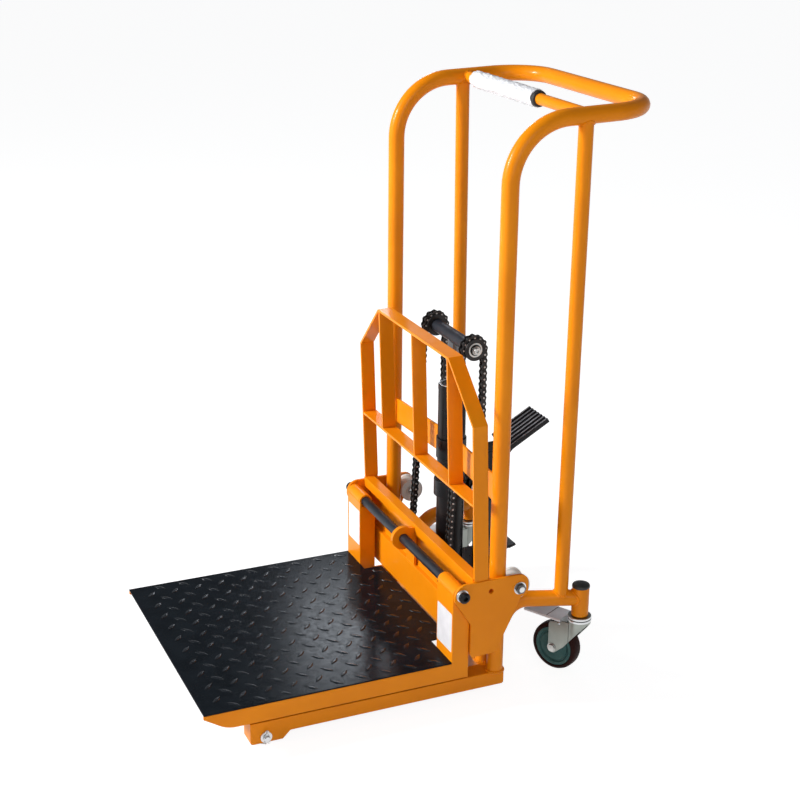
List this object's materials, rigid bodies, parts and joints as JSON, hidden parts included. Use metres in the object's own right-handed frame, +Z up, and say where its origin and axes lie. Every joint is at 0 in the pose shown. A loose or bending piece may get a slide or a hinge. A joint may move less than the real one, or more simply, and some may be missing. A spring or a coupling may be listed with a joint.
{
  "type": "hand pallet stacker",
  "caption": "Foot-pumped hand pallet stacker: tubular orange mast and handle, chain-lifted carriage with backrest and a black checker-plate platform, on swivel casters and leg rollers.",
  "frame": {"origin": "floor under the middle of the whole stacker", "axes": "+X to the stacker's right seen from behind the handle looking at the platform, -Y along the platform, +Z up"},
  "size_m": [0.582, 0.906, 1.1405],
  "materials": {
    "orange_paint": "gloss orange enamel",
    "checker_plate": "gloss black checker plate",
    "black_enamel": "semi-gloss black enamel",
    "black_chain": "oiled black steel",
    "zinc_steel": "bright zinc plate",
    "ground_rod": "dark ground rod",
    "white_nylon": "off-white nylon",
    "caster_rubber": "dark red-brown tread on a teal core",
    "grip_rubber": "soft black rubber",
    "wrap_film": "white packing film",
    "cap_plastic": "black moulded plug"
  },
  "bodies": {
    "frame": {"mast_handle_tube": "orange_paint", "rear_posts": "orange_paint", "lower_side_tubes": "orange_paint", "caster_sleeves": "orange_paint", "sleeve_caps": "cap_plastic", "grip_bar": "orange_paint", "grip_sleeve": "grip_rubber", "grip_wrap": "wrap_film", "leg_left": "orange_paint", "leg_right": "orange_paint", "leg_roller_axles": "zinc_steel", "base_crossmember": "orange_paint", "cylinder_tube": "black_enamel", "cylinder_gland": "black_enamel", "cylinder_clamp": "black_enamel", "cylinder_braces": "orange_paint", "pump_block": "black_enamel", "pedal_bracket": "black_enamel", "pedal_pivot_pin": "zinc_steel", "chain_rear_runs": "black_chain"},
    "ram": {"piston_rod": "ground_rod", "chain_shaft": "black_enamel", "shaft_end_bolts": "zinc_steel", "chain_wraps": "black_chain"},
    "carriage": {"carriage_plate_left": "orange_paint", "carriage_plate_right": "orange_paint", "carriage_top_angle": "orange_paint", "carriage_beam": "orange_paint", "beam_strap": "orange_paint", "fork_rod": "black_enamel", "rod_lug": "orange_paint", "rod_end_bolts": "zinc_steel", "backrest_rail": "orange_paint", "backrest_bars": "orange_paint", "guide_roller_bolts": "zinc_steel", "chain_carriage_anchors": "orange_paint", "chain_front_runs": "black_chain"},
    "platform": {"platform_plate": "checker_plate", "fork_side_left": "orange_paint", "fork_side_right": "orange_paint", "platform_stiffeners": "orange_paint"},
    "pump_pedal": {"pump_pedal": "black_enamel"},
    "pump_plunger": {"pump_plunger": "zinc_steel"},
    "release_pedal": {"release_pedal": "black_enamel"},
    "chain_wheel_left": {"chain_wheel_left": "black_chain"},
    "guide_roller_upper_left": {"guide_roller_upper_left": "white_nylon"},
    "guide_roller_lower_left": {"guide_roller_lower_left": "white_nylon"},
    "leg_roller_left": {"leg_roller_left": "white_nylon"},
    "caster_left": {"caster_fork_left": "zinc_steel", "caster_axle_left": "zinc_steel"},
    "caster_wheel_left": {"caster_wheel_left": "caster_rubber"},
    "caster_brake_left": {"caster_brake_left": "zinc_steel"},
    "chain_wheel_right": {"chain_wheel_right": "black_chain"},
    "guide_roller_upper_right": {"guide_roller_upper_right": "white_nylon"},
    "guide_roller_lower_right": {"guide_roller_lower_right": "white_nylon"},
    "leg_roller_right": {"leg_roller_right": "white_nylon"},
    "caster_right": {"caster_fork_right": "zinc_steel", "caster_axle_right": "zinc_steel"},
    "caster_wheel_right": {"caster_wheel_right": "caster_rubber"},
    "caster_brake_right": {"caster_brake_right": "zinc_steel"}
  },
  "joints": [
    {"name": "carriage_lift", "type": "slide", "parent": "frame", "child": "carriage", "axis": [0, 0, 1], "range_m": [0, 0.7], "deforming": ["chain_front_runs", "chain_rear_runs"]},
    {"name": "ram_lift", "type": "slide", "parent": "frame", "child": "ram", "axis": [0, 0, 1], "range_m": [0, 0.35]},
    {"name": "platform_tilt", "type": "hinge", "parent": "carriage", "child": "platform", "pos_m": [0, 0.053, 0.238], "axis": [-1, 0, 0], "range_deg": [0, 90]},
    {"name": "pump_pedal_swing", "type": "hinge", "parent": "frame", "child": "pump_pedal", "pos_m": [0, 0.197, 0.338], "axis": [-1, 0, 0], "range_deg": [0, 25], "stiffness_Nm_per_rad": 8, "springref_deg": -28.65},
    {"name": "pump_plunger_stroke", "type": "slide", "parent": "frame", "child": "pump_plunger", "axis": [0, 0, -1], "range_m": [0, 0.019]},
    {"name": "release_pedal_swing", "type": "hinge", "parent": "frame", "child": "release_pedal", "pos_m": [0.04, 0.25, 0.196], "axis": [-1, 0, 0], "range_deg": [0, 12], "stiffness_Nm_per_rad": 0.6, "springref_deg": -17.19},
    {"name": "chain_wheel_left_turn", "type": "hinge", "parent": "ram", "child": "chain_wheel_left", "pos_m": [-0.087, 0.156, 0.656], "axis": [-1, 0, 0], "range_deg": [0, 900]},
    {"name": "guide_roller_upper_left_spin", "type": "hinge", "parent": "carriage", "child": "guide_roller_upper_left", "pos_m": [-0.25, 0.175, 0.231], "axis": [1, 0, 0], "continuous": true},
    {"name": "guide_roller_lower_left_spin", "type": "hinge", "parent": "carriage", "child": "guide_roller_lower_left", "pos_m": [-0.25, 0.1105, 0.12], "axis": [1, 0, 0], "continuous": true},
    {"name": "leg_roller_left_spin", "type": "hinge", "parent": "frame", "child": "leg_roller_left", "pos_m": [-0.24, -0.334, 0.018], "axis": [1, 0, 0], "continuous": true},
    {"name": "caster_left_swivel", "type": "hinge", "parent": "frame", "child": "caster_left", "pos_m": [-0.25, 0.325, 0.133], "axis": [0, 0, 1], "continuous": true},
    {"name": "caster_left_roll", "type": "hinge", "parent": "caster_left", "child": "caster_wheel_left", "pos_m": [-0.25, 0.276, 0.05], "axis": [1, 0, 0], "continuous": true},
    {"name": "caster_left_brake", "type": "hinge", "parent": "caster_left", "child": "caster_brake_left", "pos_m": [-0.25, 0.291, 0.1075], "axis": [1, 0, 0], "range_deg": [0, 8]},
    {"name": "chain_wheel_right_turn", "type": "hinge", "parent": "ram", "child": "chain_wheel_right", "pos_m": [0.087, 0.156, 0.656], "axis": [-1, 0, 0], "range_deg": [0, 900]},
    {"name": "guide_roller_upper_right_spin", "type": "hinge", "parent": "carriage", "child": "guide_roller_upper_right", "pos_m": [0.25, 0.175, 0.231], "axis": [1, 0, 0], "continuous": true},
    {"name": "guide_roller_lower_right_spin", "type": "hinge", "parent": "carriage", "child": "guide_roller_lower_right", "pos_m": [0.25, 0.1105, 0.12], "axis": [1, 0, 0], "continuous": true},
    {"name": "leg_roller_right_spin", "type": "hinge", "parent": "frame", "child": "leg_roller_right", "pos_m": [0.24, -0.334, 0.018], "axis": [1, 0, 0], "continuous": true},
    {"name": "caster_right_swivel", "type": "hinge", "parent": "frame", "child": "caster_right", "pos_m": [0.25, 0.325, 0.133], "axis": [0, 0, 1], "continuous": true},
    {"name": "caster_right_roll", "type": "hinge", "parent": "caster_right", "child": "caster_wheel_right", "pos_m": [0.20714, 0.30124, 0.05], "axis": [0.4848, -0.8746, 0], "continuous": true},
    {"name": "caster_right_brake", "type": "hinge", "parent": "caster_right", "child": "caster_brake_right", "pos_m": [0.22026, 0.30852, 0.1075], "axis": [0.4848, -0.8746, 0], "range_deg": [0, 8]}
  ],
  "couplings": [
    {"joint": "ram_lift", "follows": "carriage_lift", "ratio": 0.5},
    {"joint": "pump_plunger_stroke", "follows": "pump_pedal_swing", "m_per_rad": 0.04},
    {"joint": "chain_wheel_left_turn", "follows": "carriage_lift", "rad_per_m": 22.222},
    {"joint": "chain_wheel_right_turn", "follows": "carriage_lift", "rad_per_m": 22.222}
  ]
}
